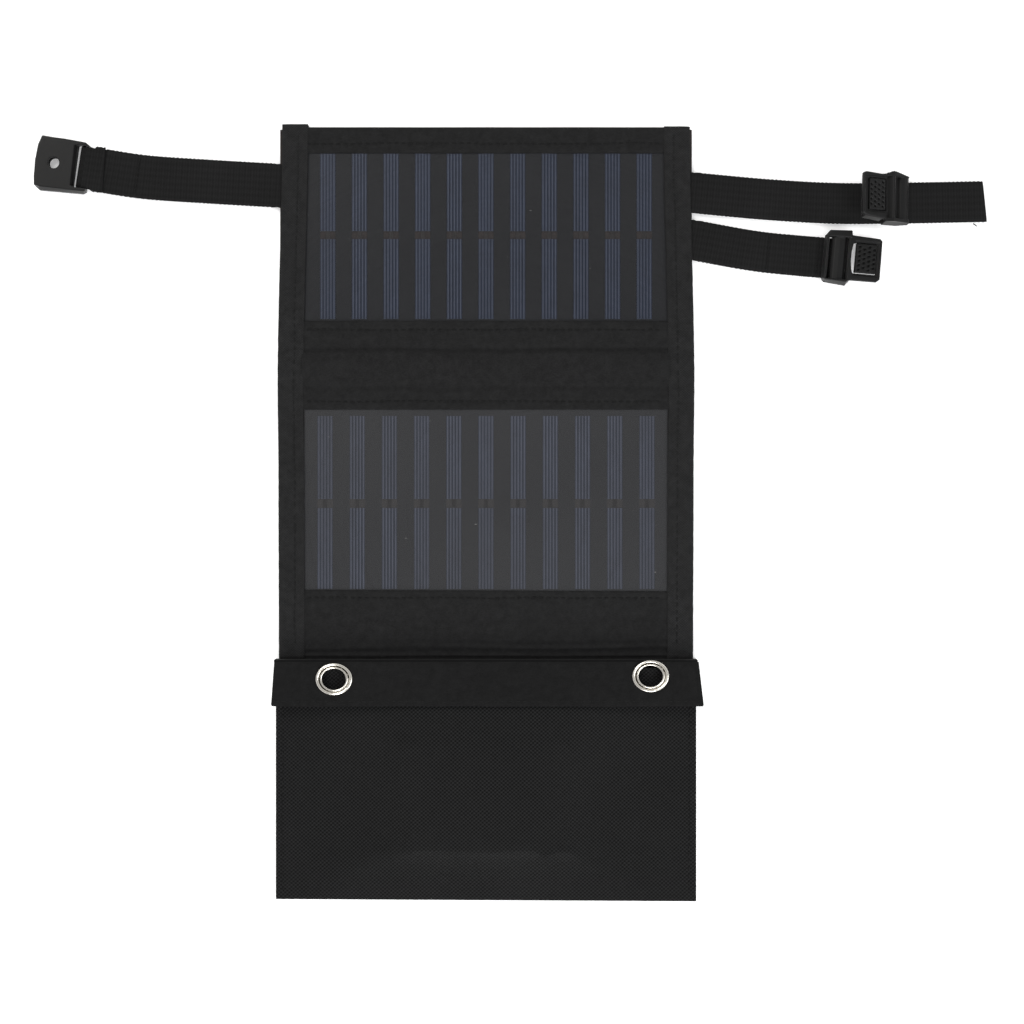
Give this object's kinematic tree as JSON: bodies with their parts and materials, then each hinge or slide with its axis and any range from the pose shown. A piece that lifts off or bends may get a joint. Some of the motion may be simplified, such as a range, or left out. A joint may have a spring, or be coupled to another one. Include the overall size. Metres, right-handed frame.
{
  "type": "folding solar panel",
  "caption": "Folding cloth camping solar charger: two cell panels, a cable pocket with an eyelet flap, and webbing straps with a catch plate and clips.",
  "frame": {"origin": "centre of the middle panel's back face", "axes": "+Z out of the cells, +Y towards the far panel along the row of panels, +X to the side with two straps"},
  "size_m": [0.3813, 0.31, 0.0138],
  "materials": {
    "cloth": "woven polyester, matt",
    "binding": "folded binding tape with a sewn line",
    "pocket_cloth": "coated cloth with a small dotted weave",
    "webbing": "ribbed narrow webbing",
    "tape": "hook and loop tape",
    "board": "stiffener board",
    "laminate": "satin encapsulant",
    "cell": "dark blue cell with fine finger lines",
    "ribbon": "tinned copper ribbon",
    "film": "clear matt film",
    "lead": "flat two-core lead",
    "nickel": "polished nickel plating",
    "steel": "plated steel",
    "box_plastic": "textured moulded plastic",
    "clip_plastic": "moulded acetal with satin edges",
    "circuit": "solder mask",
    "contact_block": "white insert with gold contacts",
    "lens": "moulded light pipe"
  },
  "bodies": {
    "middle_panel": {"middle_back": "cloth", "middle_board": "board", "middle_encapsulant": "laminate", "middle_cells": "cell", "middle_ribbons": "ribbon", "middle_film": "film", "middle_top_band": "cloth", "middle_bottom_band": "cloth", "middle_bindings": "binding", "middle_lead": "lead"},
    "upper_panel": {"upper_back": "cloth", "upper_board": "board", "upper_encapsulant": "laminate", "upper_cells": "cell", "upper_ribbons": "ribbon", "upper_film": "film", "upper_top_band": "cloth", "upper_bottom_band": "cloth", "upper_bindings": "binding", "upper_lead": "lead", "left_strap_anchor": "webbing", "right_strap_anchor": "webbing", "lower_strap_anchor": "webbing"},
    "upper_fold": {"upper_fold_back": "cloth", "upper_fold_front": "cloth", "upper_fold_bindings": "binding", "upper_fold_lead": "lead"},
    "lower_fold": {"lower_fold_back": "cloth", "lower_fold_front": "cloth", "lower_fold_bindings": "binding", "lower_fold_lead": "lead"},
    "pocket": {"pocket_back": "pocket_cloth", "pocket_front": "pocket_cloth", "pocket_riser": "pocket_cloth", "loop_tape": "tape", "pocket_lead": "lead", "box_base": "box_plastic", "box_lid": "box_plastic", "box_screws": "steel", "circuit_board": "circuit", "usb_shell": "steel", "usb_tongue": "contact_block", "indicator": "lens", "strain_relief": "lead"},
    "flap": {"flap_cloth": "cloth", "hook_tape": "tape", "eyelets": "nickel", "eyelet_washers": "nickel"},
    "left_strap": {"left_web_inner": "webbing"},
    "left_strap_end": {"left_web_outer": "webbing"},
    "catch": {"catch_plate": "clip_plastic"},
    "right_strap": {"right_web_inner": "webbing"},
    "right_strap_end": {"right_web_outer": "webbing"},
    "slider": {"slider_clip": "clip_plastic"},
    "slider_press": {"slider_pad": "clip_plastic"},
    "lower_strap": {"lower_web_inner": "webbing"},
    "lower_strap_end": {"lower_web_outer": "webbing"},
    "end_catch": {"end_clip": "clip_plastic"},
    "end_press": {"end_pad": "clip_plastic"}
  },
  "joints": [
    {"name": "upper_fold_turn", "type": "hinge", "parent": "middle_panel", "child": "upper_fold", "pos_m": [0, 0.0498, 0.0032], "axis": [1, 0, 0], "range_deg": [-30, 90]},
    {"name": "upper_panel_turn", "type": "hinge", "parent": "upper_fold", "child": "upper_panel", "pos_m": [0, 0.064, 0.0032], "axis": [1, 0, 0], "range_deg": [-30, 90]},
    {"name": "lower_fold_turn", "type": "hinge", "parent": "middle_panel", "child": "lower_fold", "pos_m": [0, -0.0498, 0.0032], "axis": [-1, 0, 0], "range_deg": [-30, 90]},
    {"name": "pocket_turn", "type": "hinge", "parent": "lower_fold", "child": "pocket", "pos_m": [0, -0.0596, 0.0032], "axis": [-1, 0, 0], "range_deg": [-30, 90]},
    {"name": "flap_lift", "type": "hinge", "parent": "pocket", "child": "flap", "pos_m": [0, -0.06, 0.0104], "axis": [1, 0, 0], "range_deg": [-170, 0]},
    {"name": "left_strap_swing", "type": "hinge", "parent": "upper_panel", "child": "left_strap", "pos_m": [-0.0854, 0.12903, 0.0019], "axis": [0.0576, 0.9983, 0], "range_deg": [-60, 90]},
    {"name": "left_strap_wrap", "type": "hinge", "parent": "left_strap", "child": "left_strap_end", "pos_m": [-0.10936, 0.13041, 0.0019], "axis": [0.1115, 0.9938, 0], "range_deg": [-60, 90]},
    {"name": "catch_tilt", "type": "hinge", "parent": "left_strap_end", "child": "catch", "pos_m": [-0.16262, 0.13638, 0.00195], "axis": [-0.1115, -0.9938, 0], "range_deg": [-45, 45]},
    {"name": "right_strap_swing", "type": "hinge", "parent": "upper_panel", "child": "right_strap", "pos_m": [0.08539, 0.1258, 0.0019], "axis": [-0.0906, -0.9959, 0], "range_deg": [-60, 80]},
    {"name": "right_strap_wrap", "type": "hinge", "parent": "right_strap", "child": "right_strap_end", "pos_m": [0.11328, 0.12326, 0.0019], "axis": [-0.014, -0.9999, 0], "range_deg": [-60, 90]},
    {"name": "slider_slide", "type": "slide", "parent": "right_strap_end", "child": "slider", "axis": [0.9999, -0.014, 0], "range_m": [-0.032, 0.026]},
    {"name": "slider_press_turn", "type": "hinge", "parent": "slider", "child": "slider_press", "pos_m": [0.15132, 0.12303, 0.0124], "axis": [0.014, 0.9999, 0], "range_deg": [0, 6], "stiffness_Nm_per_rad": 0.05},
    {"name": "lower_strap_swing", "type": "hinge", "parent": "upper_panel", "child": "lower_strap", "pos_m": [0.08537, 0.10663, 0.0019], "axis": [-0.1702, -0.9854, 0], "range_deg": [-60, 72]},
    {"name": "lower_strap_wrap", "type": "hinge", "parent": "lower_strap", "child": "lower_strap_end", "pos_m": [0.1102, 0.10234, 0.0019], "axis": [-0.0906, -0.9959, 0], "range_deg": [-40, 70]},
    {"name": "end_clip_tilt", "type": "hinge", "parent": "lower_strap_end", "child": "end_catch", "pos_m": [0.14167, 0.09947, 0.00195], "axis": [-0.0906, -0.9959, 0], "range_deg": [-35, 8]},
    {"name": "end_press_turn", "type": "hinge", "parent": "end_catch", "child": "end_press", "pos_m": [0.15651, 0.09812, 0.00515], "axis": [-0.0906, -0.9959, 0], "range_deg": [0, 6], "stiffness_Nm_per_rad": 0.05}
  ],
  "couplings": [
    {"joint": "upper_panel_turn", "follows": "upper_fold_turn", "ratio": 1},
    {"joint": "pocket_turn", "follows": "lower_fold_turn", "ratio": 1}
  ]
}
